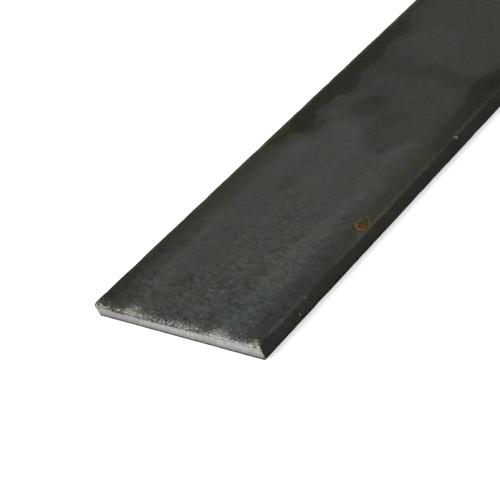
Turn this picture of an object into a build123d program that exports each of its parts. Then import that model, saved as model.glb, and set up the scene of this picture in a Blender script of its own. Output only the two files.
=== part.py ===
from build123d import *
import os

# A hot-rolled steel flat bar, 100 x 6 mm, cut to the one-metre length it is retailed in.
# +X runs along the bar, +Y across its width and +Z through its thickness.
# The origin is at the centre of the wide face that the bar lies on. All sizes are in millimetres.

# Rolled section
bar_width = 100.0  # over the fullest point of both narrow edges
bar_thickness = 6.0
edge_crown = 0.25  # how far the middle of a narrow edge stands out past its corners
rolled_radius = 1.0  # on the four long arrises, left by the rolls

# Cut length
bar_length = 1000.0  # between the two cut end faces
arris_break = 0.35  # the cut ends' arrises, broken with a file

steel_density = 7850.0  # kg per cubic metre


def draw_rolled_outline():
    """One turn round the section: flat top and bottom, and narrow edges that bulge a little."""
    corner_y = bar_width / 2 - edge_crown
    Line((-corner_y, 0), (corner_y, 0))
    ThreePointArc((corner_y, 0), (bar_width / 2, bar_thickness / 2), (corner_y, bar_thickness))
    Line((corner_y, bar_thickness), (-corner_y, bar_thickness))
    ThreePointArc((-corner_y, bar_thickness), (-bar_width / 2, bar_thickness / 2), (-corner_y, 0))


with BuildPart() as flat_bar:
    # The rolled section, run out to the cropped length.
    with BuildSketch(Plane.YZ.offset(-bar_length / 2)) as section:
        with BuildLine():
            draw_rolled_outline()
        make_face()
        fillet(section.vertices(), radius=rolled_radius)
    extrude(amount=bar_length)

    # The cut ends, whose arrises were broken with a file after cropping.
    cut_ends = flat_bar.faces().filter_by(Axis.X)
    chamfer(cut_ends.edges(), length=arris_break)

flat_bar.part.label = "flat_bar"

os.makedirs("parts", exist_ok=True)
export_step(flat_bar.part, "parts/flat_bar.step")
print("mass in kg:", round(flat_bar.part.volume / 1e9 * steel_density, 3))
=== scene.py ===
import math

import bpy
import numpy as np
from mathutils import Matrix, Vector, noise


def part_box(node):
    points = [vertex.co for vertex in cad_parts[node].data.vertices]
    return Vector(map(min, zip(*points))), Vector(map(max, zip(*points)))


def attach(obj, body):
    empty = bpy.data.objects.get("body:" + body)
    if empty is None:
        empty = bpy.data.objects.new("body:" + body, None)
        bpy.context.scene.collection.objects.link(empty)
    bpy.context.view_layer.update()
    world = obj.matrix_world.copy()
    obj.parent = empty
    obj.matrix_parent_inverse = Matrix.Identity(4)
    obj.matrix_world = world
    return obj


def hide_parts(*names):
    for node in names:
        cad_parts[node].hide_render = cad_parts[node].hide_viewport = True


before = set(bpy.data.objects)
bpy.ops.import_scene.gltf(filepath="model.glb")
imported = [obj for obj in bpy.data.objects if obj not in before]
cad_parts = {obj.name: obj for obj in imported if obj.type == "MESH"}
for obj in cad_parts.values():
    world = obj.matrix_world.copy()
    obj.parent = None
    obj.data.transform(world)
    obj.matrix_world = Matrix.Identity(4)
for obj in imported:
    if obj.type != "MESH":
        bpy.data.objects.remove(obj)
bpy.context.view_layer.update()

MM = 0.001  # shapes and places below are in millimetres, and turn into metres where they reach Blender

# The bar's sizes, from the frame, with the two small ones of its rolled section
BAR_LOW, BAR_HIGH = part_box("flat_bar")
LENGTH = (BAR_HIGH.x - BAR_LOW.x) / MM
HALF_WIDTH = (BAR_HIGH.y - BAR_LOW.y) / 2 / MM
THICKNESS = (BAR_HIGH.z - BAR_LOW.z) / MM
EDGE_CROWN = 0.25
ROLLED_RADIUS = 1.0

# The photograph's camera, solved from the bar's outline
PHOTO_SIDE = 500.0  # pixels
FOCAL_LENGTH = 1223.8  # pixels
SENSOR_WIDTH = 36.0
CAMERA_EYE = Vector((-0.6818, -0.35164, 0.24401))  # metres
CAMERA_HEADING = math.radians(56.879)  # from +X towards +Y
CAMERA_DOWN = math.radians(29.762)
CAMERA_ROLL = math.radians(-27.084)

# What the photograph shows on the bar. Along is from the near cut end, and across is +Y from the middle.

# Where the dark band beside each long edge begins, as (along, distance from the middle)
LEFT_BAND = (
    (0, 40.5), (15, 40.8), (30, 40.2), (45, 40.5), (60, 41.0), (80, 39.5), (100, 40.0), (110, 39.5),
    (118, 39.0), (121, 36.5), (123, 31.8), (129, 31.2), (134, 34.0), (138, 38.0), (142, 36.5), (146, 35.5),
    (150, 35.8), (153, 30.5), (158, 28.6), (164, 30.8), (170, 35.0), (175, 34.5), (181, 32.0), (187, 33.8),
    (193, 36.6), (198, 36.2), (205, 33.2), (210, 34.0), (215, 38.0), (220, 41.5), (228, 43.5),
)
RIGHT_BAND = (
    (0, 41.0), (12, 40.6), (20, 39.6), (35, 39.2), (50, 38.2), (60, 38.6), (75, 39.6), (95, 38.2),
    (110, 38.5), (125, 39.8), (140, 38.6), (150, 37.2), (157, 34.8), (163, 32.5), (169, 34.5), (174, 38.0),
)
# How dark those bands are, as (along, darkness)
LEFT_DARKNESS = (
    (0, 0.58), (20, 0.57), (32, 0.52), (45, 0.48), (60, 0.47), (80, 0.43), (100, 0.43), (112, 0.47),
    (122, 0.57), (130, 0.61), (150, 0.57), (165, 0.60), (200, 0.57), (215, 0.51), (228, 0.38),
)
RIGHT_DARKNESS = (
    (0, 0.31), (60, 0.28), (80, 0.33), (105, 0.36), (118, 0.41), (135, 0.43), (146, 0.52), (170, 0.55),
)
# Where the bar turns a shade darker farther along, as (across, along)
FAR_TONE = (
    (-50, 116), (-38, 118), (-30, 124), (-20, 112), (-8, 116), (-2, 122), (2, 130), (10, 134), (22, 134),
    (30, 118), (40, 112), (50, 112),
)
# The middle of a dark streak that runs down across the bar, as (across, along)
STREAK = (
    (-45, 163.5), (-32, 163.2), (-25, 164.0), (-20, 165.5), (-14, 169.0), (-8, 171.5), (0, 173.0),
    (10, 172.0), (20, 168.0),
)

# Marks, as (along, across, half length, half width, turn in degrees, strength)
DARK_SMUDGES = (
    (144.5, 10.5, 8.0, 10.6, 0, 0.20),
    (148.3, 9.5, 4.8, 6.8, 0, 0.19),
    (137.5, -12.5, 4.6, 5.6, 0, 0.10),
    (43.5, 34.5, 2.2, 5.5, 0, 0.22),
    (46.8, 26.0, 1.5, 2.6, 0, 0.12),
    (36.5, 43.0, 1.6, 4.5, 0, 0.20),
    (23.5, 34.5, 1.5, 2.2, 0, 0.20),
    (17.5, 11.0, 2.0, 4.0, 0, 0.13),
    (24.5, 13.5, 2.2, 5.0, 0, 0.14),
    (35.0, -16.5, 4.0, 2.2, -15, 0.13),
    (16.5, -22.0, 2.0, 5.0, 0, 0.16),
    (55.5, -20.5, 2.0, 2.0, 0, 0.15),
    (48.0, -42.5, 1.4, 1.8, 0, 0.25),
    (14.0, -41.0, 3.0, 1.3, 20, 0.25),
    (113.0, -20.0, 1.8, 2.4, 0, 0.25),
    (65.0, -3.8, 6.5, 1.8, -8, 0.13),
    (79.5, 3.5, 1.5, 4.5, -20, 0.14),
    (89.5, -22.0, 2.6, 0.9, 25, 0.16),
    (23.0, 16.5, 1.2, 2.2, 20, 0.16),
    (9.0, 8.0, 3.0, 3.0, 0, 0.10),
    (20.5, -12.0, 2.4, 2.0, 0, 0.12),
    (69.0, 31.0, 9.0, 3.0, 30, 0.08),
)
DARK_CLOUDS = (
    (157.5, 12.0, 8.0, 9.5, 0, 0.10),
    (124.5, 26.5, 9.5, 5.5, 10, 0.17),
    (174.0, 25.0, 8.5, 9.0, 0, 0.17),
    (183.0, 17.0, 7.0, 12.0, 0, 0.07),
    (122.0, 20.0, 6.0, 9.0, 0, 0.08),
    (87.5, 13.5, 5.5, 5.5, 0, 0.17),
    (8.0, 36.0, 8.0, 9.0, 0, 0.12),
    (9.0, -45.5, 6.0, 3.5, 0, 0.08),
    (103.0, -15.0, 13.0, 8.0, 0, 0.12),
    (60.0, 16.0, 70.0, 12.0, 0, 0.05),
    (137.0, -5.0, 9.0, 7.0, 0, 0.07),
)
# Lighter clouds of scale. The long first one, along the right-hand half of the top by the near cut, is a
# painted sheen.
LIGHT_CLOUDS_AND_SHEEN = (
    (30.0, -28.5, 60.0, 8.2, 0, 0.17),
    (9.5, -36.5, 4.5, 3.4, 0, 0.13),
    (24.0, -33.5, 10.0, 2.6, 0, 0.09),
    (88.0, -33.5, 9.0, 3.6, 0, 0.10),
    (129.0, 7.0, 8.0, 12.0, 0, 0.06),
    (139.5, 30.0, 4.4, 6.0, 0, 0.14),
    (151.0, 33.4, 4.6, 2.4, 10, 0.30),
    (194.0, 8.0, 17.0, 13.0, 30, 0.13),
    (150.0, -7.0, 5.0, 6.5, 0, 0.10),
    (94.5, -10.0, 3.2, 2.4, 0, 0.10),
)
TEAL_TINTS = (
    (14.0, -27.0, 8.0, 7.0, 0, 0.60),
    (25.0, -30.0, 4.5, 5.0, 0, 0.45),
    (47.0, -31.0, 6.0, 4.0, 0, 0.40),
    (78.0, -31.0, 5.0, 4.0, 0, 0.35),
    (113.0, -20.0, 2.6, 3.4, 0, 0.75),
    (137.0, -27.0, 7.0, 5.0, 0, 0.30),
    (165.0, 5.0, 4.0, 4.0, 0, 0.45),
    (173.0, 15.0, 6.0, 4.0, 30, 0.60),
    (183.0, 21.0, 7.0, 6.0, 0, 0.60),
    (205.0, 5.0, 8.0, 6.0, 0, 0.45),
)
PLUM_TINTS = (
    (74.0, -21.0, 6.0, 6.0, 0, 0.80),
    (66.0, -27.5, 5.0, 2.6, 10, 0.60),
    (6.0, 4.0, 3.6, 5.5, 0, 0.80),
    (5.0, -6.5, 2.6, 4.0, 0, 0.70),
    (37.0, 42.0, 4.0, 6.0, 0, 0.60),
    (165.0, 31.0, 9.0, 5.0, 0, 0.55),
    (157.0, 12.0, 7.0, 9.0, 0, 0.45),
    (74.0, 24.0, 7.0, 7.0, 0, 0.30),
    (102.0, 37.0, 7.0, 4.0, 0, 0.50),
    (8.0, -43.0, 7.0, 4.5, 0, 0.50),
)
# Where more bare steel shows beside the near cut, or less of it where the strength is below 0
BARE_PATCHES = (
    (2.4, 25.0, 5.4, 5.0, 0, 0.12),
    (2.0, 46.0, 6.0, 4.0, 0, 0.04),
    (1.4, 12.0, 3.0, 14.0, 0, 0.03),
    (1.4, -2.0, 2.6, 5.0, 0, 0.06),
    (1.6, -11.0, 2.8, 5.0, 0, 0.08),
    (1.8, -27.0, 4.4, 4.6, 0, 0.15),
    (0.8, -36.0, 2.2, 8.0, 0, 0.06),
    (1.2, -46.5, 2.8, 3.2, 0, 0.14),
    (5.0, -49.0, 2.8, 2.0, 0, -0.30),
)
# How much dark scale still hangs over the cut's upper edge, as (across, share)
LIP_SCALE = (
    (-48.5, 0.2), (-47.4, 0.8), (-46, 0.1), (-30.5, 0.1), (-29.2, 0.9), (-28, 0.1), (-22, 0.3), (-19, 0.5),
    (-16.5, 0.5), (-14, 0.8), (-9.5, 0.8), (-7, 0.5), (-4, 0.8), (-1.8, 0.5), (0, 0.7), (2.2, 0.9), (5, 0.6),
    (8, 0.8), (9.2, 0.6), (10.8, 1.0), (13.5, 0.5), (15.5, 0.8), (17.5, 0.5), (20.5, 0.9), (24, 0.4),
    (28, 0.4), (30, 1.0), (33, 1.1), (35, 0.8), (36.5, 0.9), (38.5, 0.3), (41, 0.1), (49, 0.1),
)
# How much lighter or darker wear has left the right-hand upper arris, with a painted highlight in the
# lighter share, as (along, share)
ARRIS_WEAR_AND_HIGHLIGHT = (
    (0, 0.2), (6, 0.1), (9, 0.9), (14, 0.85), (22, 0.4), (32, 0.1), (34, -0.7), (36, -0.2), (38, -0.8),
    (44, -0.9), (46, 0.0), (54, 0.5), (66, 0.9), (78, 0.8), (88, 0.4), (105, 0.4), (115, 0.2), (122, 0.35),
    (130, 0.6), (140, 0.5), (150, 0.3), (165, 0.3),
)

# How strong the scale's fine speckle is, as (along, strength)
GRAIN = ((0, 1.26), (24, 1.16), (36, 0.87), (52, 0.74), (75, 0.62), (105, 0.42), (130, 0.33), (160, 0.31))

# Small dents, as (along, across, up), their half sizes along, across and up, and their depth
DENTS = (
    ((126.4, -49.3, 5.8), (0.8, 1.3, 1.5), 0.38),
    ((27.2, -49.0, 6.0), (0.5, 0.6, 0.7), 0.14),
    ((21.6, -49.9, 3.2), (0.4, 0.8, 1.1), 0.12),
    ((1.9, -49.7, 5.6), (1.7, 1.3, 1.3), 0.45),
    ((8.8, -49.7, 5.7), (3.2, 1.1, 1.0), 0.32),
    ((39.0, -49.5, 5.7), (6.5, 0.9, 0.8), 0.14),
)
# Where fresh steel shows in them, as (along, across, up), half sizes, and how bright it is
FRESH_NICKS = (
    ((126.5, -49.0, 5.9), (0.75, 1.0, 1.0), 0.6),
    ((27.2, -48.9, 6.0), (0.45, 0.7, 0.6), 0.35),
    ((21.6, -49.9, 3.1), (0.18, 0.8, 0.9), 0.9),
)

# Stains on the narrow edge, as (along, across, up), half sizes, colour and strength
EDGE_STAINS = (
    ((3.3, -50.0, 4.8), (2.7, 3.0, 2.5), (0.039, 0.032, 0.027), 0.70),
    ((4.4, -49.0, 6.0), (1.7, 1.3, 1.2), (0.030, 0.025, 0.020), 0.75),
    ((4.0, -48.9, 6.0), (0.8, 0.6, 0.8), (0.014, 0.012, 0.010), 0.70),
    ((13.2, -50.0, 3.0), (2.0, 3.0, 2.4), (0.043, 0.035, 0.034), 0.60),
    ((14.0, -50.0, 4.3), (0.25, 3.0, 1.4), (0.072, 0.067, 0.061), 0.55),
    ((15.5, -50.0, 4.6), (0.3, 3.0, 1.4), (0.072, 0.067, 0.061), 0.55),
    ((38.0, -50.0, 4.2), (2.6, 3.0, 2.8), (0.044, 0.034, 0.031), 0.60),
    ((51.8, -50.0, 5.0), (1.3, 3.0, 1.8), (0.034, 0.034, 0.020), 0.45),
    ((129.5, -50.0, 4.0), (2.4, 3.0, 2.4), (0.038, 0.031, 0.030), 0.45),
)
# Stains on the top face, as (along, across, half length, half width, turn), colour and strength
TOP_STAINS = (
    ((123.0, 46.0, 6.5, 3.2, 10), (0.048, 0.036, 0.014), 0.45),
    ((120.0, 37.0, 1.8, 4.5, -10), (0.050, 0.046, 0.020), 0.35),
    ((189.0, 46.5, 3.5, 2.0, 0), (0.040, 0.030, 0.024), 0.30),
    ((112.0, -40.0, 5.0, 4.0, 0), (0.046, 0.043, 0.022), 0.30),
    ((67.0, 48.0, 7.0, 1.6, 0), (0.055, 0.055, 0.020), 0.45),
    ((87.0, 48.0, 4.0, 1.4, 0), (0.055, 0.055, 0.020), 0.40),
    ((34.0, 48.0, 3.0, 1.6, 0), (0.050, 0.052, 0.020), 0.40),
    ((110.0, 48.2, 4.5, 1.4, 0), (0.085, 0.078, 0.030), 0.50),
)
# Fine pale scratches on the top face, as (along, across, half length, half width, turn)
SCRATCHES = (
    (163.6, -8.9, 2.4, 0.35, 24), (164.3, -10.5, 2.9, 0.35, 29), (202.0, -2.6, 2.2, 0.35, 15),
    (9.5, -6.0, 2.2, 0.22, 38), (16.0, -5.0, 4.5, 0.22, 38), (20.5, 4.8, 2.0, 0.22, 38),
    (25.0, -37.3, 2.4, 0.25, 35), (31.0, -4.0, 0.25, 6.0, 8), (41.5, 2.0, 0.25, 5.0, 8),
    (95.0, 2.5, 4.0, 0.30, 28),
)

# The rust spot beside the right-hand edge: where its shallow hollow is, and how far that reaches
RUST_AT = (68.8, -44.2)
RUST_REACH = 6.5
# Its marks, given as the top stains are: an olive halo, a red-brown body, pale crusts, a dark hollow
RUST_MARKS = (
    ((73.3, -43.0, 3.8, 5.0, 0), (0.046, 0.047, 0.021), 0.65),
    ((63.8, -46.7, 2.0, 1.0, 40), (0.062, 0.062, 0.026), 0.65),
    ((67.9, -43.9, 2.8, 4.0, -15), (0.068, 0.038, 0.014), 0.90),
    ((69.3, -47.9, 3.0, 1.1, 5), (0.080, 0.058, 0.043), 0.70),
    ((66.2, -47.2, 1.0, 0.9, 0), (0.098, 0.061, 0.036), 0.65),
    ((68.1, -43.8, 0.9, 2.0, -15), (0.080, 0.034, 0.012), 0.75),
    ((69.7, -43.0, 0.7, 1.6, -15), (0.036, 0.026, 0.009), 0.80),
    ((67.0, -44.0, 0.5, 1.7, -10), (0.052, 0.026, 0.006), 0.75),
    ((67.0, -41.5, 2.4, 0.35, 45), (0.050, 0.030, 0.012), 0.60),
    ((68.0, -41.8, 2.9, 0.55, 45), (0.140, 0.074, 0.034), 0.90),
    ((69.7, -40.8, 1.2, 0.9, 30), (0.085, 0.058, 0.040), 0.65),
    ((65.2, -43.3, 0.5, 0.8, 0), (0.040, 0.022, 0.018), 0.70),
    ((65.5, -46.0, 0.4, 1.1, 0), (0.052, 0.034, 0.008), 0.65),
    ((67.8, -46.0, 2.1, 0.6, 45), (0.112, 0.058, 0.025), 0.80),
    ((66.3, -44.8, 0.45, 1.1, 0), (0.190, 0.148, 0.066), 0.90),
    ((71.3, -41.2, 1.5, 1.0, 20), (0.076, 0.077, 0.048), 0.65),
    ((71.6, -43.2, 1.7, 1.0, 25), (0.030, 0.037, 0.018), 0.75),
    ((71.2, -45.4, 1.9, 0.9, 42), (0.043, 0.034, 0.008), 0.90),
    ((73.0, -45.5, 1.2, 0.8, 40), (0.050, 0.043, 0.011), 0.65),
    ((71.3, -47.3, 1.3, 0.6, 30), (0.036, 0.027, 0.011), 0.70),
    ((70.9, -46.2, 1.8, 0.3, 42), (0.115, 0.090, 0.045), 0.80),
    ((73.2, -43.9, 1.9, 0.45, 45), (0.072, 0.076, 0.042), 0.65),
    ((65.0, -50.3, 0.8, 1.2, 0), (0.050, 0.040, 0.028), 0.40),
    ((63.5, -48.7, 1.1, 0.7, 35), (0.036, 0.045, 0.074), 0.50),
)


def make_camera():
    """The camera at the photograph's place, rolled so that the bar runs up to the right."""
    ahead = Vector((
        math.cos(CAMERA_DOWN) * math.cos(CAMERA_HEADING),
        math.cos(CAMERA_DOWN) * math.sin(CAMERA_HEADING),
        -math.sin(CAMERA_DOWN),
    ))
    level_right = Vector((math.sin(CAMERA_HEADING), -math.cos(CAMERA_HEADING), 0.0))
    level_up = level_right.cross(ahead)
    up = math.cos(CAMERA_ROLL) * level_up - math.sin(CAMERA_ROLL) * level_right
    right = ahead.cross(up)
    data = bpy.data.cameras.new("photo_camera")
    data.sensor_width = SENSOR_WIDTH
    data.lens = FOCAL_LENGTH / PHOTO_SIDE * SENSOR_WIDTH
    data.clip_start = 0.01
    data.clip_end = 60.0
    camera = bpy.data.objects.new("photo_camera", data)
    axes = Matrix((right, up, -ahead)).transposed()
    camera.matrix_world = Matrix.Translation(CAMERA_EYE) @ axes.to_4x4()
    bpy.context.scene.collection.objects.link(camera)
    bpy.context.scene.camera = camera


def cloud(places, size, seed):
    """Smooth noise from about -1 to 1 at each place, with features of about that size."""
    shift = Vector((17.3, 5.1, 29.7)) * seed
    return np.array([noise.noise(Vector(place) / size + shift) for place in places])


def ease(values, start, end):
    """0 before start and 1 after end, with a smooth rise between, or a fall where start is the larger."""
    share = np.clip((values - start) / (end - start), 0.0, 1.0)
    return share * share * (3.0 - 2.0 * share)


def listed(places, pairs):
    """The value at each place, read off a list of (place, value)."""
    return np.interp(places, [pair[0] for pair in pairs], [pair[1] for pair in pairs])


def patch(along, across, mark, softness=0.8):
    """How much a mark covers each place: its strength at the middle, and nothing outside it."""
    at_along, at_across, half_length, half_width, turn, strength = mark
    turn = math.radians(turn)
    u = along - at_along
    v = across - at_across
    u, v = u * math.cos(turn) + v * math.sin(turn), v * math.cos(turn) - u * math.sin(turn)
    distance = np.hypot(u / half_length, v / half_width)
    return strength * ease(distance, 0.9 + softness / 2, 0.9 - softness / 2)


# The bar's mesh

def edge_profile():
    """(across, up) round one narrow edge, from the bottom face to the top face."""
    half = THICKNESS / 2
    crown_radius = (half ** 2 + EDGE_CROWN ** 2) / (2 * EDGE_CROWN)
    crown_middle = HALF_WIDTH - crown_radius
    rise = half - ROLLED_RADIUS
    corner_middle = crown_middle + math.sqrt((crown_radius - ROLLED_RADIUS) ** 2 - rise ** 2)
    meeting = math.asin(rise / (crown_radius - ROLLED_RADIUS))
    corner_steps, crown_steps = 6, 4
    points = []
    for step in range(corner_steps):
        angle = -math.pi / 2 + (math.pi / 2 - meeting) * step / corner_steps
        points.append((
            corner_middle + ROLLED_RADIUS * math.cos(angle),
            ROLLED_RADIUS + ROLLED_RADIUS * math.sin(angle),
        ))
    for step in range(crown_steps // 2):
        angle = -meeting + meeting * step / (crown_steps // 2)
        points.append((crown_middle + crown_radius * math.cos(angle), half + crown_radius * math.sin(angle)))
    upper = [(across, THICKNESS - up) for across, up in reversed(points)]
    return points + [(HALF_WIDTH, half)] + upper


def spacing(along):
    """The wanted gap between rings of the mesh: fine at the cut ends, the rust and the deeper dents."""
    near_far_end = LENGTH - along
    gap = min(0.10 + along * 0.12, max(1.3, along * 0.016 - 1.5), 7.0, 0.25 + near_far_end * 0.14)
    fine_places = [RUST_AT[0]] + [place[0] for place, _, depth in DENTS if depth > 0.15]
    for place in fine_places:
        gap = min(gap, 0.35 + max(0.0, abs(along - place) - 2.0) * 0.12)
    return max(gap, 0.10)


def ring_places():
    """Where the rings stand along the bar, from one cut end to the other."""
    places = [0.0]
    while places[-1] < LENGTH:
        places.append(places[-1] + spacing(places[-1]))
    return np.array(places) * LENGTH / places[-1]


def bar_surface_points():
    """The rest places of the mesh's points, its faces, and which points are on a cut face."""
    profile = edge_profile()
    rim = profile[0][0]
    columns = 96
    across = np.linspace(-rim, rim, columns + 1)
    levels = len(profile) - 1
    left = profile[1:-1]
    ring = [(y, 0.0) for y in across]
    ring += left
    ring += [(y, THICKNESS) for y in across[::-1]]
    ring += [(-y, z) for y, z in reversed(left)]
    ring = np.array(ring)
    count = len(ring)
    places = ring_places()
    points = np.vstack([np.column_stack([np.full(count, x), ring]) for x in places])
    faces = []
    for k in range(len(places) - 1):
        start, after = k * count, (k + 1) * count
        for i in range(count):
            j = (i + 1) % count
            faces.append((start + i, start + j, after + j, after + i))
    top_start = columns + len(left) + 1

    def rim_point(column, level):
        """The ring's own point for a column and level at the cut face's rim."""
        if level == 0:
            return column
        if level == levels:
            return top_start + columns - column
        if column < 0:
            return count - level
        return columns + level

    inner = []
    for base, x, flip in ((0, 0.0, False), ((len(places) - 1) * count, LENGTH, True)):
        grid = {}
        for column in range(-1, columns + 2):
            for level in range(levels + 1):
                outside = column in (-1, columns + 1)
                if outside and level in (0, levels):
                    continue
                if outside or level in (0, levels):
                    grid[column, level] = base + rim_point(column, level)
                    continue
                grid[column, level] = len(points) + len(inner)
                inner.append((x, across[column], THICKNESS * level / levels))
        quads = []
        for column in range(-1, columns + 1):
            for level in range(levels):
                corners = (
                    (column, level), (column, level + 1),
                    (column + 1, level + 1), (column + 1, level),
                )
                quads.append([grid[c] for c in corners if c in grid])
        faces += [tuple(reversed(q)) if flip else tuple(q) for q in quads]
    on_cut = np.concatenate([np.zeros(len(points)), np.ones(len(inner))])
    return np.vstack([points, np.array(inner)]), faces, on_cut


def end_distance(rest):
    """How far each point is from the nearer cut end."""
    return np.minimum(rest[:, 0], LENGTH - rest[:, 0])


def in_upper_half(rest):
    """Whether each point is nearer to the top face than to the bottom one."""
    return rest[:, 2] > THICKNESS / 2


def cut_roll(rest):
    """How far the shear drew the top face down at the cut, which is most at the left-hand corner."""
    across = rest[:, 1]
    left_share = ease(across, -45.0, 45.0)
    depth = 0.40 + 0.60 * left_share
    only_across = rest * (0.0, 1.0, 0.0)
    depth *= 1.0 + 0.25 * cloud(only_across, 9.0, 3) + 0.12 * cloud(only_across, 2.5, 4)
    fall = np.exp(-(end_distance(rest) / 0.75) ** 1.1)
    return depth * fall * ease(rest[:, 2], THICKNESS * 0.45, THICKNESS * 0.95)


def shaped(rest, on_cut):
    """The points with the bar's real unevenness. All of it goes inwards, so the bar keeps its sizes."""
    points = rest.copy()
    distance = end_distance(rest)
    top_share = ease(rest[:, 2], THICKNESS * 0.4, THICKNESS * 0.6)
    to_middle = np.where(top_share > 0.5, -1.0, 1.0)
    flat_share = np.where((rest[:, 2] < 0.01) | (rest[:, 2] > THICKNESS - 0.01), 1.0, 0.0)

    # The rolled faces are slightly wavy, with shallow relief where the scale is thick.
    waves = 0.015 * (1.0 + cloud(rest, 45.0, 11)) + 0.010 * (1.0 + cloud(rest, 7.0, 12))
    points[:, 2] += to_middle * flat_share * waves

    # The long arrises are bruised a little.
    corner_share = ease(np.abs(rest[:, 1]), HALF_WIDTH - 1.6, HALF_WIDTH - 0.6)
    corner_share *= ease(np.abs(rest[:, 2] - THICKNESS / 2), 1.2, 2.4)
    bruise = np.clip(cloud(rest, 8.0, 21), 0.0, 1.0) * 0.16 + np.clip(cloud(rest, 2.2, 22), 0.0, 1.0) * 0.07
    points[:, 2] += to_middle * corner_share * bruise
    points[:, 1] -= np.sign(rest[:, 1]) * corner_share * bruise

    # The narrow edges carry faint marks from the edging rolls.
    on_side = ease(np.abs(rest[:, 1]), HALF_WIDTH - 0.5, HALF_WIDTH - 0.2)
    edge_marks = 0.03 * (1.0 + cloud(rest * (0.3, 1.0, 1.0), 2.0, 23))
    points[:, 1] -= np.sign(rest[:, 1]) * on_side * edge_marks

    # The cut ends: broken arrises all round, a drawn-down top edge, blunt corners and a torn face.
    near_cut = np.exp(-(distance / 0.22) ** 1.5) * (1.0 - on_cut)
    broken = (0.10 + 0.16 * top_share) * (1.0 + 0.4 * cloud(rest, 2.0, 31))
    points[:, 2] += to_middle * flat_share * near_cut * broken
    points[:, 1] -= np.sign(rest[:, 1]) * on_side * near_cut * broken
    points[:, 2] -= cut_roll(rest)
    inwards = np.where(rest[:, 0] < LENGTH / 2, 1.0, -1.0)
    blunt = 0.55 * ease(np.abs(rest[:, 1]), HALF_WIDTH - 1.8, HALF_WIDTH) ** 1.5
    streaks = cloud(rest * (0.0, 1.0, 0.12), 0.9, 41)
    tears = cloud(rest * (0.0, 1.0, 0.5), 4.0, 42)
    lower_share = ease(rest[:, 2], THICKNESS * 0.40, THICKNESS * 0.15)
    torn = 0.05 * (1.0 + streaks) + 0.04 * (1.0 + tears) + 0.03 * lower_share
    points[:, 0] += inwards * (blunt * np.exp(-distance / 1.6) + torn * np.exp(-distance / 0.8))

    for place, half_sizes, depth in DENTS:
        away = (rest - np.array(place)) / np.array(half_sizes)
        dent = depth * np.clip(1.0 - (away ** 2).sum(1), 0.0, 1.0) ** 1.5
        points[:, 1] -= np.sign(place[1]) * dent * 0.8
        points[:, 2] -= dent * 0.6 * ease(rest[:, 2], 3.0, 5.0)

    # The rust has eaten a shallow, rough hollow.
    eaten = patch(rest[:, 0], rest[:, 1], (*RUST_AT, RUST_REACH, RUST_REACH * 0.8, 0, 1.0)) * top_share
    points[:, 2] -= eaten * 0.05 * (1.0 + cloud(rest, 1.6, 51))
    return points


# What the finish follows, as one number a point

def covered(shares):
    """What several layers leave uncovered, as one factor."""
    left = 1.0
    for share in shares:
        left = left * (1.0 - share)
    return left


def out_of_sight(rest):
    """1 where the photograph doesn't show the bar, so that noise places the marks there instead."""
    return np.where(in_upper_half(rest), ease(rest[:, 0], 222.0, 245.0), 1.0)


def side_share(rest):
    """1 on the narrow edges, and 0 on the wide faces."""
    return ease(np.abs(rest[:, 1]), HALF_WIDTH - 0.8, HALF_WIDTH - 0.4)


def edge_bands(rest, warp):
    """How dark the bands beside the two long edges are. Farther along they have clear lobes."""
    along, across = rest[:, 0], rest[:, 1]
    hidden = out_of_sight(rest)
    left = across > 0
    begins = np.where(left, listed(along, LEFT_BAND), listed(along, RIGHT_BAND))
    lobed = 36.0 + 8.0 * cloud(rest * (1.0, 0.3, 1.0), 16.0, 63)
    begins = begins * (1.0 - hidden) + lobed * hidden
    darkness = np.where(left, listed(along, LEFT_DARKNESS), listed(along, RIGHT_DARKNESS))
    darkness = darkness * (1.0 - hidden) + (0.48 + 0.14 * cloud(rest, 30.0, 67)) * hidden
    inside = np.abs(across) + 0.45 * warp - begins
    soft = np.where(left, 2.2 - 1.0 * ease(along, 105.0, 122.0), 2.6 - 1.4 * ease(along, 135.0, 150.0))
    far = ease(along, 105.0, 120.0)
    fringe_darkness = np.where(left, 0.29 - 0.13 * far, 0.13 + 0.08 * ease(along, 60.0, 110.0) - 0.08 * far)
    fringe = fringe_darkness * ease(inside, -10.5, -3.5)
    core = 1.0 - (1.0 - darkness) / (1.0 - fringe_darkness)
    inner = 0.10 * ease(inside, 2.0, 8.0)
    return 1.0 - covered((fringe, core * ease(inside, -soft, soft), inner))


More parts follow.
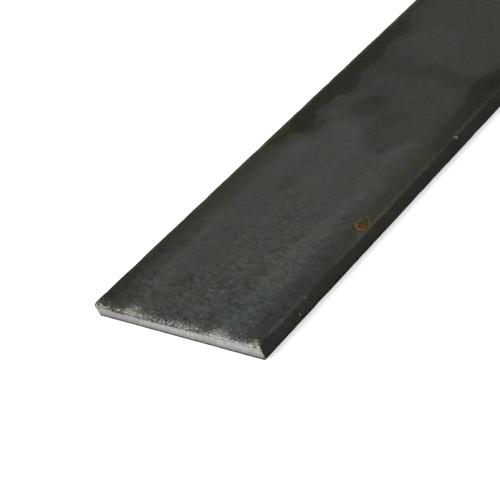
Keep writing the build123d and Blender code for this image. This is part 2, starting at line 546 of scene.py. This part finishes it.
def tone(rest):
    """How light the mill scale is, as a factor: dark bands along the edges, smudges, clouds and wear,
    lighter clouds with one painted sheen, and painted shade on the narrow edges.
    """
    along, across = rest[:, 0], rest[:, 1]
    on_top = in_upper_half(rest)
    hidden = out_of_sight(rest)
    warp = 1.6 * cloud(rest, 12.0, 61) + 1.2 * cloud(rest, 4.0, 62)
    far_share = ease(along + warp - listed(across, FAR_TONE), -6.0, 6.0)
    far_share = far_share * (1.0 - 0.8 * hidden * ease(cloud(rest, 40.0, 68), -0.10, 0.35))

    darker = [edge_bands(rest, warp), (0.31 - 0.05 * ease(-across, 20.0, 32.0)) * far_share]
    darker.append(hidden * 0.30 * ease(cloud(rest, 15.0, 64), 0.28, 0.55))
    from_streak = np.abs(along + 0.7 * warp - listed(across, STREAK))
    darker.append(on_top * 0.17 * ease(from_streak, 6.5, 2.0) * ease(across, 24.0, 8.0))
    for mark in DARK_SMUDGES:
        darker.append(on_top * patch(along + 0.5 * warp, across + 0.4 * warp, mark, 0.45))
    for mark in DARK_CLOUDS:
        darker.append(on_top * patch(along + warp, across + warp, mark))
    value = covered(darker)
    # Lighter clouds, the first of them a painted sheen
    for mark in LIGHT_CLOUDS_AND_SHEEN:
        value = value * (1.0 + on_top * patch(along + warp, across + 0.5 * warp, mark, 0.6))
    unevenness = 0.08 * cloud(rest, 24.0, 65) + 0.07 * cloud(rest, 8.0, 66) + 0.04 * cloud(rest, 4.5, 70)
    value = value * (1.0 + unevenness)

    # Painted shade: the narrow edges' tone is set darker than the top's, as on the side away from the lamp.
    # Their lower part is darker still by the near cut, and lighter farther along.
    side_shade_tone = 0.69 + 0.10 * cloud(rest * (0.4, 1.0, 1.0), 5.0, 69) - 0.10 * ease(along, 20.0, 130.0)
    side_shade_tone = side_shade_tone - ease(rest[:, 2], 2.4, 0.8) * (0.20 - 0.32 * ease(along, 35.0, 95.0))
    on_side = side_share(rest)
    return np.clip(value * (1.0 - on_side) + side_shade_tone * on_side, 0.12, 1.5)


def olive(rest, light):
    """How far the scale turns from grey to brownish olive, as it does where it is darker."""
    value = 1.6 * (0.85 - light) + 0.20 * cloud(rest, 12.0, 72) + 0.12 * cloud(rest, 4.0, 73)
    value -= 0.35 * ease(-rest[:, 1], 20.0, 36.0) * ease(rest[:, 0], 75.0, 55.0)
    value -= 0.30 * ease(rest[:, 1], 30.0, 40.0) * ease(rest[:, 0], 50.0, 30.0)
    value -= 0.25 * ease(-rest[:, 1], 30.0, 38.0) * ease(rest[:, 0], 105.0, 125.0)
    value -= 0.25 * side_share(rest)
    farther = ease(rest[:, 0], 100.0, 118.0) * (1.0 - out_of_sight(rest))
    value *= 1.0 - 0.25 * farther * ease(rest[:, 1], 42.0, 38.0) * ease(rest[:, 1], -34.0, -24.0)
    value *= 1.0 - 0.35 * farther * ease(np.abs(rest[:, 1]), 34.0, 24.0)
    return np.clip(value, 0.0, 1.0)


def moss(rest):
    """How mossy a green the left-hand edge has, which begins about 100 mm along the bar."""
    share = ease(rest[:, 1], 41.5, 47.0) * ease(rest[:, 0], 98.0, 112.0)
    share = share * (1.0 - 0.8 * out_of_sight(rest) * ease(cloud(rest, 40.0, 83), 0.20, -0.10))
    return share * (0.75 + 0.25 * cloud(rest, 5.0, 74))


def tint(rest, marks, seed):
    """Where the scale has a faint tint: at the marks, and in loose clouds elsewhere."""
    warp = 1.5 * cloud(rest, 8.0, seed)
    on_top = in_upper_half(rest)
    value = (0.25 + 0.2 * out_of_sight(rest)) * ease(cloud(rest, 11.0, seed + 1), 0.20, 0.60)
    for mark in marks:
        value = np.maximum(value, on_top * patch(rest[:, 0] + warp, rest[:, 1] + warp, mark))
    return value


def grain(rest):
    """How strong the scale's fine speckle is: most by the near cut, and then towards the right."""
    along = rest[:, 0] + 6.0 * cloud(rest, 20.0, 75)
    strength = listed(along, GRAIN) * (1.0 - 0.25 * ease(np.abs(rest[:, 1]), 34.0, 42.0))
    strength = strength * (1.0 + (0.04 - 0.20 * ease(rest[:, 1], -20.0, 14.0)) * ease(along, 20.0, 35.0))
    strength = strength * (1.0 - 0.24 * ease(rest[:, 1], 0.0, 25.0))
    strength = strength * (1.0 - 0.12 * ease(-rest[:, 1], 16.0, 26.0) * ease(along, 50.0, 30.0))
    elsewhere = 0.25 + 0.55 * ease(cloud(rest, 50.0, 76), -0.2, 0.5)
    return np.maximum(strength, elsewhere * out_of_sight(rest))


def scale_hold(rest, on_cut):
    """How firmly the scale holds: bare steel shows where the shader's noise is higher than this."""
    across, up = rest[:, 1], rest[:, 2]
    distance = end_distance(rest)
    on_top = np.where(in_upper_half(rest), 1.0, 0.0)
    hold = 0.495 + 0.225 * (1.0 - np.exp(-distance / 3.2)) + 0.14 * ease(distance, 4.0, 11.0)
    hold += 0.05 * cloud(rest, 4.0, 79) - 0.09 * ease(distance, 0.8, 0.1)
    hold += 0.10 * (1.0 - on_top)
    hold += 0.25 * side_share(rest)
    near_end = np.where(rest[:, 0] < LENGTH / 2, on_top, 0.0)
    warp = 1.2 * cloud(rest, 3.0, 80)
    for mark in BARE_PATCHES:
        hold -= patch(distance + warp, across + 1.5 * warp, mark, 1.4) * near_end
    # The cut face is bare up to a ragged line just under the lip, and lower down at the left-hand corner.
    lipped = ease(across, -26.0, -16.0)
    reach = 0.6 + 1.9 * ease(across, 12.0, 42.0)
    under_lip = ease(up, THICKNESS - reach, THICKNESS - 0.1) * lipped * (0.35 + 0.20 * cloud(rest, 3.0, 77))
    corner_flakes = 0.20 * ease(across, 34.0, 43.0) * ease(up, 3.0, 5.0)
    return hold * (1.0 - on_cut) + (0.05 + np.maximum(under_lip, corner_flakes)) * on_cut


def arris_wear_and_highlight(rest):
    """How much the long arrises are lightened by handling wear and a painted highlight, or darkened by
    handling where it is below 0.
    """
    on_top = in_upper_half(rest)
    right = (rest[:, 1] < 0) * on_top * ease(rest[:, 0], 175.0, 160.0)
    left = (rest[:, 1] > 0) * on_top * ease(rest[:, 0], 250.0, 230.0)
    elsewhere = 0.45 + 0.5 * cloud(rest * (1.0, 0.2, 0.2), 14.0, 81)
    patchy = 1.0 + 0.35 * cloud(rest * (1.0, 0.2, 0.2), 3.0, 82)
    on_left = 0.10 + 0.75 * ease(rest[:, 0], 65.0, 115.0) + 0.25 * ease(rest[:, 0], 165.0, 185.0)
    value = listed(rest[:, 0], ARRIS_WEAR_AND_HIGHLIGHT) * right + on_left * left + elsewhere * (1.0 - right - left)
    return patchy * value


def lip_scale(rest, on_cut):
    """How much dark scale hangs over the upper edge of each cut."""
    share = listed(np.where(rest[:, 0] < LENGTH / 2, rest[:, 1], -rest[:, 1]), LIP_SCALE)
    reach = 0.6 + 0.35 * ease(rest[:, 1], -2.0, 8.0)
    on_face = ease(rest[:, 2], THICKNESS - reach - 0.2, THICKNESS - reach + 0.3)
    beside = ease(end_distance(rest), 1.3, 0.4) * in_upper_half(rest)
    return share * np.where(on_cut > 0.5, on_face, beside)


def make_bar():
    """One closed mesh for the whole bar, with what its finish follows kept on its points."""
    rest, faces, on_cut = bar_surface_points()
    points = shaped(rest, on_cut)
    points[:, 0] -= LENGTH / 2
    mesh = bpy.data.meshes.new("bar_surface")
    mesh.from_pydata((points * MM).tolist(), [], faces)
    mesh.validate()
    mesh.shade_smooth()
    light = tone(rest)
    fields = {
        "tone": light,
        "olive": olive(rest, light),
        "moss": moss(rest),
        "teal": tint(rest, TEAL_TINTS, 91),
        "plum": tint(rest, PLUM_TINTS, 94),
        "grain": grain(rest),
        "side": side_share(rest),
        "scale_hold": scale_hold(rest, on_cut),
        "arris_wear_and_highlight": arris_wear_and_highlight(rest),
        "lip": lip_scale(rest, on_cut),
        "on_cut": on_cut,
    }
    for name, values in fields.items():
        mesh.attributes.new(name, "FLOAT", "POINT").data.foreach_set("value", values.astype(np.float32))
    piece = bpy.data.objects.new("bar_surface", mesh)
    bpy.context.scene.collection.objects.link(piece)
    return piece


# Materials

class Nodes:
    """Short calls that add nodes to a tree and join them up."""

    def __init__(self, tree):
        self.tree = tree
        tree.nodes.clear()

    def add(self, kind, **settings):
        node = self.tree.nodes.new(kind)
        for name, value in settings.items():
            setattr(node, name, value)
        return node

    def feed(self, socket, value):
        """Joins a socket's value on, or sets a plain number or colour."""
        if isinstance(value, bpy.types.NodeSocket):
            self.tree.links.new(value, socket)
        elif socket.type == "RGBA":
            socket.default_value = (*value, 1.0)
        else:
            socket.default_value = value

    def math(self, operation, *values):
        node = self.add("ShaderNodeMath", operation=operation)
        for socket, value in zip(node.inputs, values):
            self.feed(socket, value)
        return node.outputs[0]

    def vector(self, operation, *values):
        node = self.add("ShaderNodeVectorMath", operation=operation)
        for socket, value in zip(node.inputs, values):
            self.feed(socket, value)
        return node.outputs["Value" if operation in ("LENGTH", "DOT_PRODUCT") else "Vector"]

    def scaled(self, vector, factor):
        node = self.add("ShaderNodeVectorMath", operation="SCALE")
        self.feed(node.inputs["Vector"], vector)
        self.feed(node.inputs["Scale"], factor)
        return node.outputs["Vector"]

    def attribute(self, name):
        return self.add("ShaderNodeAttribute", attribute_name=name).outputs["Fac"]

    def noise(self, place, size, detail=3.0, roughness=0.5, stretch=(1.0, 1.0, 1.0), seed=0.0):
        """Noise round 0.5 with features of about that size in mm, drawn out along a stretched axis."""
        node = self.add("ShaderNodeTexNoise", noise_dimensions="4D")
        steps = tuple(1.0 / (size * MM * factor) for factor in stretch)
        self.feed(node.inputs["Vector"], self.vector("MULTIPLY", place, steps))
        self.feed(node.inputs["W"], seed)
        self.feed(node.inputs["Scale"], 1.0)
        self.feed(node.inputs["Detail"], detail)
        self.feed(node.inputs["Roughness"], roughness)
        return node.outputs["Fac"]

    def spread(self, value, low, high, to_low=0.0, to_high=1.0):
        """Carries low to high over to to_low to to_high, eased, and holds those beyond."""
        node = self.add("ShaderNodeMapRange", interpolation_type="SMOOTHSTEP")
        for socket, number in zip(node.inputs, (value, low, high, to_low, to_high)):
            self.feed(socket, number)
        return node.outputs["Result"]

    def mix(self, share, first, second):
        """Blends two colours."""
        node = self.add("ShaderNodeMix", data_type="RGBA")
        self.feed(node.inputs["Factor"], share)
        first_socket, second_socket = [s for s in node.inputs if s.type == "RGBA"]
        self.feed(first_socket, first)
        self.feed(second_socket, second)
        return node.outputs[2]

    def rotated(self, vector, axis, angle):
        node = self.add("ShaderNodeVectorRotate", rotation_type=axis)
        self.feed(node.inputs["Vector"], vector)
        self.feed(node.inputs["Angle"], angle)
        return node.outputs["Vector"]

    def bump(self, height, size, normal=None):
        """Bends the surface as relief of that height in mm does."""
        node = self.add("ShaderNodeBump")
        self.feed(node.inputs["Strength"], 1.0)
        self.feed(node.inputs["Distance"], size * MM)
        self.feed(node.inputs["Height"], height)
        if normal is not None:
            self.feed(node.inputs["Normal"], normal)
        return node.outputs["Normal"]


def from_cut(distance):
    """A place along the bar in Blender's metres, from its distance to the near cut in mm."""
    return (distance - LENGTH / 2) * MM


def near_mark(n, place, middle, half_sizes, turn, ragged):
    """1 in the middle of a mark, down to 0 past its ragged outline. Its places and half sizes are in mm."""
    along, across, up = middle
    middle = (from_cut(along), across * MM, up * MM)
    turned = n.rotated(n.vector("SUBTRACT", place, middle), "Z_AXIS", -math.radians(turn))
    steps = tuple(1.0 / (half_size * MM) for half_size in half_sizes)
    distance = n.vector("LENGTH", n.vector("MULTIPLY", turned, steps))
    rough = n.noise(place, 1.3, detail=4.0, roughness=0.65, seed=along)
    wobble = n.math("MULTIPLY_ADD", rough, ragged * 2.0, -ragged)
    return n.spread(n.math("ADD", distance, wobble), 1.25, 0.55)


def top_mark(n, place, mark, ragged):
    """The same for a mark on the top face, given as (along, across, half length, half width, turn)."""
    along, across, half_length, half_width, turn = mark
    half_sizes = (half_length, half_width, min(half_width / 0.4, 4.0))
    return near_mark(n, place, (along, across, THICKNESS), half_sizes, turn, ragged)


def scale_colour(n, place, along, up):
    """Mill scale: grey, olive where it is dark, with faint tints, soft mottling and scattered flecks."""
    grey = (0.0508, 0.0545, 0.0476)
    brown_olive = (0.0550, 0.0545, 0.0275)
    moss_green = (0.0512, 0.0550, 0.0188)
    teal = (0.0440, 0.0550, 0.0500)
    plum = (0.0545, 0.0520, 0.0530)
    edge_brown = (0.0560, 0.0545, 0.0448)
    colour = n.mix(n.attribute("olive"), grey, brown_olive)
    colour = n.mix(n.attribute("moss"), colour, moss_green)
    colour = n.mix(n.math("MULTIPLY", n.attribute("side"), 0.8), colour, edge_brown)
    colour = n.mix(n.attribute("teal"), colour, teal)
    colour = n.mix(n.attribute("plum"), colour, plum)

    # Its speckle is drawn out across the bar, a little aslant.
    slanting = n.rotated(place, "Z_AXIS", math.radians(12.0))
    mottle = n.noise(slanting, 2.9, detail=4.0, roughness=0.65, stretch=(1.0, 1.7, 1.0), seed=4.0)
    flecks = n.noise(slanting, 0.68, detail=2.0, roughness=0.5, stretch=(1.0, 2.8, 1.0), seed=3.0)
    pits = n.noise(slanting, 0.72, detail=2.0, roughness=0.5, stretch=(1.0, 3.4, 1.0), seed=5.0)
    strength = n.attribute("grain")
    flecks = n.math("MULTIPLY", n.spread(flecks, 0.54, 0.76), n.spread(strength, 0.3, 1.1, 0.60, 1.04))
    uneven = n.math("ADD", n.spread(mottle, 0.28, 0.72, -0.20, 0.20), flecks)
    uneven = n.math("ADD", uneven, n.spread(pits, 0.54, 0.78, 0.0, -0.50))

    # Soft short wrinkles, in places
    folds = n.noise(slanting, 3.4, detail=2.0, roughness=0.5, stretch=(1.0, 2.6, 1.0), seed=15.0)
    fold_line = n.spread(n.math("ABSOLUTE", n.math("SUBTRACT", folds, 0.5)), 0.0, 0.07, -0.30, 0.08)
    folded = n.spread(n.noise(place, 9.0, detail=1.0, seed=16.0), 0.42, 0.58)
    uneven = n.math("MULTIPLY_ADD", fold_line, folded, uneven)
    light = n.math("MULTIPLY_ADD", uneven, strength, 1.0)

    # The narrow edges have upright roll marks, and dark specks along their lower arris.
    roll_marks = n.spread(n.noise(place, 0.8, stretch=(1.0, 1.0, 6.0), seed=17.0), 0.35, 0.65, -0.08, 0.08)
    specks = n.noise(place, 0.7, detail=3.0, stretch=(1.0, 1.0, 1.3), seed=18.0)
    specks = n.spread(specks, 0.44, 0.62, 0.16, -0.7)
    specks = n.math("MULTIPLY", specks, n.spread(up, 2.4 * MM, 1.2 * MM, 0.08, 1.0))
    specks = n.math("MULTIPLY", specks, n.spread(along, from_cut(105.0), from_cut(45.0), 0.45, 1.0))
    on_side = n.math("MULTIPLY", n.math("ADD", roll_marks, specks), n.attribute("side"))
    light = n.math("ADD", light, on_side)
    light = n.math("MULTIPLY", n.math("MAXIMUM", light, 0.25), n.attribute("tone"))
    return n.scaled(colour, light)


def stained(n, place, colour):
    """The colour with the brown stains and the rust spot on it, and how much of it is rust."""
    pale_scratch = (0.080, 0.082, 0.072)
    for middle, half_sizes, stain, strength in EDGE_STAINS:
        share = n.math("MULTIPLY", near_mark(n, place, middle, half_sizes, 0.0, 0.6), strength)
        colour = n.mix(share, colour, stain)
    for mark, stain, strength in TOP_STAINS:
        share = n.math("MULTIPLY", top_mark(n, place, mark, 0.7), strength)
        colour = n.mix(share, colour, stain)
    for mark in SCRATCHES:
        share = n.math("MULTIPLY", top_mark(n, place, mark, 0.2), 0.28)
        colour = n.mix(share, colour, pale_scratch)
    rust = 0.0
    for mark, stain, strength in RUST_MARKS:
        share = n.math("MULTIPLY", top_mark(n, place, mark, 0.45), strength)
        colour = n.mix(share, colour, stain)
        rust = n.math("MAXIMUM", rust, share)
    crumbs = n.spread(n.noise(place, 0.8, detail=3.0, roughness=0.7, seed=21.0), 0.32, 0.68, -0.55, 0.55)
    return n.scaled(colour, n.math("MULTIPLY_ADD", crumbs, rust, 1.0)), rust


def cut_colour(n, place, across, height):
    """Bare steel on the cut face: streaked upright, darker low down, partly as dull torn steel and partly as
    painted shade by the floor, and duller on the left.
    """
    pinkish_steel = (0.504, 0.457, 0.460)
    greenish_steel = (0.446, 0.466, 0.430)
    leaning = n.rotated(place, "X_AXIS", -0.55)
    upright = n.noise(leaning, 0.9, detail=3.0, roughness=0.6, stretch=(1.0, 1.0, 4.5), seed=8.0)
    cast = n.noise(place, 2.6, detail=3.0, stretch=(1.0, 1.8, 1.0), seed=9.0)
    steel = n.mix(n.spread(cast, 0.40, 0.60), pinkish_steel, greenish_steel)
    light = n.spread(upright, 0.25, 0.75, 0.70, 1.20)
    fullest = n.spread(across, -5.0 * MM, 42.0 * MM, 1.0, 0.83)
    # Darker towards the bottom: partly the dull torn steel, partly painted shade where the cut meets the
    # floor.
    light = n.math("MULTIPLY", light, n.spread(height, 0.2 * MM, 3.4 * MM, 0.45, fullest))
    return n.scaled(steel, light), upright


def arris_colour(n, place, across, colour):
    """The colour with handling wear and a painted highlight along the long arrises, lighter or darker as the
    bar's mesh says.
    """
    worn_scale_and_highlight = (0.090, 0.092, 0.080)
    bruised_scale = (0.022, 0.019, 0.015)
    # Handling wear and a painted highlight along the arrises, or darkening where it is below 0
    wear = n.attribute("arris_wear_and_highlight")
    streaks = n.spread(n.noise(place, 1.0, stretch=(3.0, 1.0, 1.0), seed=6.0), 0.3, 0.7, 0.35, 1.0)
    ragged = n.math("SUBTRACT", n.noise(place, 1.4, stretch=(2.0, 1.0, 1.0), seed=19.0), 0.5)
    wander = n.math("SUBTRACT", n.noise(place, 5.0, detail=1.0, seed=23.0), 0.5)
    out = n.math("SUBTRACT", HALF_WIDTH * MM, n.math("ABSOLUTE", across))
    out = n.math("MULTIPLY_ADD", ragged, 1.6 * MM, out)
    out = n.math("MULTIPLY_ADD", wander, 1.6 * MM, out)
    inner_side = n.spread(out, 0.6 * MM, 1.1 * MM)
    band = n.math("MULTIPLY", n.math("MULTIPLY", inner_side, n.spread(out, 3.6 * MM, 2.0 * MM)), streaks)
    worn_and_highlit = n.math("MULTIPLY", n.math("MAXIMUM", wear, 0.0), band)
    colour = n.mix(n.math("MULTIPLY", worn_and_highlit, 0.62), colour, worn_scale_and_highlight)
    band = n.math("MULTIPLY", inner_side, n.spread(out, 2.6 * MM, 2.0 * MM))
    spots = n.noise(place, 1.0, detail=2.0, seed=22.0)
    band = n.math("MULTIPLY", band, n.spread(spots, 0.42, 0.52, 0.1, 1.0))
    darkened = n.math("MULTIPLY", n.math("MAXIMUM", n.math("MULTIPLY", wear, -1.0), 0.0), band)
    return n.mix(darkened, colour, bruised_scale)


def rolled_steel_colour(n, place, along, across, flakes):
    """Bare steel on the rolled faces beside the cut: speckled, and creamy on the left and at one corner."""
    grey_steel = (0.315, 0.302, 0.288)
    cream_steel = (0.355, 0.338, 0.270)
    beside_edge = n.spread(across, -42.0 * MM, -46.0 * MM)
    at_corner = n.math("MULTIPLY", beside_edge, n.spread(along, from_cut(15.0), from_cut(8.0)))
    creamy = n.math("MAXIMUM", n.spread(across, 4.0 * MM, 18.0 * MM), at_corner)
    creamy = n.math("MULTIPLY", creamy, n.spread(flakes, 0.40, 0.60, 0.3, 0.9))
    steel = n.mix(creamy, grey_steel, cream_steel)
    speckle = n.noise(place, 0.9, detail=2.0, roughness=0.6, seed=14.0)
    return n.scaled(steel, n.spread(speckle, 0.34, 0.66, 0.50, 1.08))


def lip_shreds(n, place):
    """How much of the dark scale that hangs over a cut's upper edge is left at each place."""
    lip = n.attribute("lip")
    shreds = n.noise(place, 0.8, detail=3.0, roughness=0.65, stretch=(1.0, 1.5, 1.0), seed=20.0)
    shreds = n.math("MULTIPLY_ADD", lip, 0.19, shreds)
    return n.math("MULTIPLY", n.spread(shreds, 0.58, 0.68), n.spread(lip, 0.05, 0.3))


def bared(n, place, parts, colour):
    """The colour where the scale lets go of bare steel, how bare it is, and the cut's upright streaks."""
    along, across, up = parts
    dark_scale_and_shade = (0.036, 0.030, 0.027)
    on_cut = n.attribute("on_cut")
    flakes = n.noise(place, 0.85, detail=3.0, roughness=0.65, seed=7.0)
    bare = n.spread(n.math("SUBTRACT", flakes, n.attribute("scale_hold")), -0.10, 0.10)

    # A ragged dark rim runs along the cut's lower arris, partly scale round the arris and partly painted
    # contact shadow, and shreds of scale along its upper edge.
    height = n.math("MULTIPLY_ADD", n.math("SUBTRACT", flakes, 0.5), 1.6 * MM, up)
    rim = n.math("MULTIPLY", n.spread(height, 1.05 * MM, 0.55 * MM), 0.95)
    bare = n.math("MULTIPLY", bare, n.math("SUBTRACT", 1.0, rim))
    shreds = lip_shreds(n, place)
    bare = n.math("MULTIPLY", bare, n.math("SUBTRACT", 1.0, n.math("MULTIPLY", shreds, 0.85)))
    darkened = n.math("MAXIMUM", shreds, n.math("MULTIPLY", rim, on_cut))
    colour = n.mix(darkened, colour, dark_scale_and_shade)

    for middle, half_sizes, strength in FRESH_NICKS:
        fresh = n.math("MULTIPLY", near_mark(n, place, middle, half_sizes, 0.0, 0.2), strength)
        bare = n.math("MAXIMUM", bare, fresh)
    cut_steel, upright = cut_colour(n, place, across, height)
    rolled_steel = rolled_steel_colour(n, place, along, across, flakes)
    return n.mix(bare, colour, n.mix(on_cut, rolled_steel, cut_steel)), bare, upright


def fine_relief(n, place, blisters, bare, upright, rust):
    """The surface bent by blisters, grain, the step down to bare steel, the cut's tears and rust pits."""
    grain_relief = n.noise(place, 0.45, detail=3.0, seed=10.0)
    tears = n.math("MULTIPLY", upright, n.attribute("on_cut"))
    pits = n.math("MULTIPLY", n.noise(place, 0.8, detail=4.0, seed=12.0), rust)
    normal = n.bump(blisters, 0.05)
    normal = n.bump(grain_relief, 0.012, normal)
    normal = n.bump(n.math("SUBTRACT", 1.0, bare), 0.03, normal)
    normal = n.bump(tears, 0.05, normal)
    return n.bump(pits, 0.12, normal)


def finish_material():
    """The bar's one material: scale with painted shade on its narrow edges and a painted sheen, arrises
    lightened by wear and a painted highlight, bare cut steel shaded darker low down, nicks and the rust
    spot.
    """
    material = bpy.data.materials.new("mill_scale_steel")
    material.use_nodes = True
    n = Nodes(material.node_tree)
    place = n.add("ShaderNodeTexCoord").outputs["Object"]
    separate = n.add("ShaderNodeSeparateXYZ")
    n.feed(separate.inputs[0], place)
    parts = [separate.outputs[axis] for axis in "XYZ"]
    along, across, up = parts

    colour = scale_colour(n, place, along, up)
    colour = arris_colour(n, place, across, colour)
    colour, rust = stained(n, place, colour)
    colour, bare, upright = bared(n, place, parts, colour)

    # The scale is rougher where it is blistered or rusty, and bare steel a little smoother.
    blisters = n.noise(place, 2.4, detail=3.0, seed=11.0)
    roughness = n.math("MULTIPLY_ADD", rust, 0.35, n.spread(blisters, 0.3, 0.7, 0.44, 0.58))
    roughness = n.math("MULTIPLY", roughness, n.math("SUBTRACT", 1.0, bare))
    roughness = n.math("MULTIPLY_ADD", n.spread(upright, 0.3, 0.7, 0.36, 0.48), bare, roughness)

    shader = n.add("ShaderNodeBsdfPrincipled")
    n.feed(shader.inputs["Base Color"], colour)
    n.feed(shader.inputs["Metallic"], n.math("MULTIPLY", bare, 0.85))
    n.feed(shader.inputs["Roughness"], roughness)
    n.feed(shader.inputs["Specular IOR Level"], 0.02)
    n.feed(shader.inputs["Normal"], fine_relief(n, place, blisters, bare, upright, rust))
    output = n.add("ShaderNodeOutputMaterial")
    n.feed(output.inputs["Surface"], shader.outputs["BSDF"])
    return material


# The stage

def white_to_the_eye(n):
    """1 for rays from the camera and for reflections, and 0 for the light that falls on things."""
    path = n.add("ShaderNodeLightPath")
    seen = n.math("MAXIMUM", path.outputs["Is Camera Ray"], path.outputs["Is Glossy Ray"])
    return n.math("MAXIMUM", seen, path.outputs["Is Transmission Ray"])


def make_floor():
    """A plain pale floor that keeps the bar's shadow, but faintly, as the photograph has next to none."""
    half = 8.0  # metres
    glow_to_the_eye = 0.22
    more_to_camera = 0.25
    mesh = bpy.data.meshes.new("floor")
    corners = [(-half, -half, 0.0), (half, -half, 0.0), (half, half, 0.0), (-half, half, 0.0)]
    mesh.from_pydata(corners, [], [(0, 1, 2, 3)])
    floor = bpy.data.objects.new("floor", mesh)
    bpy.context.scene.collection.objects.link(floor)
    material = bpy.data.materials.new("pale_floor")
    material.use_nodes = True
    n = Nodes(material.node_tree)
    shader = n.add("ShaderNodeBsdfPrincipled")
    n.feed(shader.inputs["Base Color"], (0.80, 0.80, 0.80))
    n.feed(shader.inputs["Roughness"], 1.0)
    n.feed(shader.inputs["Specular IOR Level"], 0.0)
    n.feed(shader.inputs["Emission Color"], (1.0, 1.0, 1.0))
    glow = n.math("MULTIPLY", white_to_the_eye(n), glow_to_the_eye)
    to_camera = n.add("ShaderNodeLightPath").outputs["Is Camera Ray"]
    n.feed(shader.inputs["Emission Strength"], n.math("MULTIPLY_ADD", to_camera, more_to_camera, glow))
    output = n.add("ShaderNodeOutputMaterial")
    n.feed(output.inputs["Surface"], shader.outputs["BSDF"])
    mesh.materials.append(material)


def make_light():
    """An even pale dome and one soft lamp from the upper left, in all about as bright as white paper."""
    dome_light = 0.6
    world = bpy.data.worlds.new("studio")
    world.use_nodes = True
    n = Nodes(world.node_tree)
    background = n.add("ShaderNodeBackground")
    n.feed(background.inputs["Color"], (1.0, 1.0, 1.0))
    strength = n.math("MULTIPLY_ADD", white_to_the_eye(n), 1.0 - dome_light, dome_light)
    n.feed(background.inputs["Strength"], strength)
    output = n.add("ShaderNodeOutputWorld")
    n.feed(output.inputs["Surface"], background.outputs["Background"])
    bpy.context.scene.world = world

    lamp = bpy.data.lights.new("soft_lamp", "SUN")
    lamp.energy = 1.63
    lamp.angle = math.radians(40.0)
    lamp_object = bpy.data.objects.new("soft_lamp", lamp)
    towards_lamp = Vector((-0.45, 0.45, 0.77))
    lamp_object.rotation_mode = "QUATERNION"
    lamp_object.rotation_quaternion = towards_lamp.to_track_quat("Z", "Y")
    bpy.context.scene.collection.objects.link(lamp_object)


make_camera()
bar = make_bar()
bar.data.materials.append(finish_material())
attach(bar, "root")
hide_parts("flat_bar")
make_floor()
make_light()
bpy.context.scene.view_settings.view_transform = "Standard"
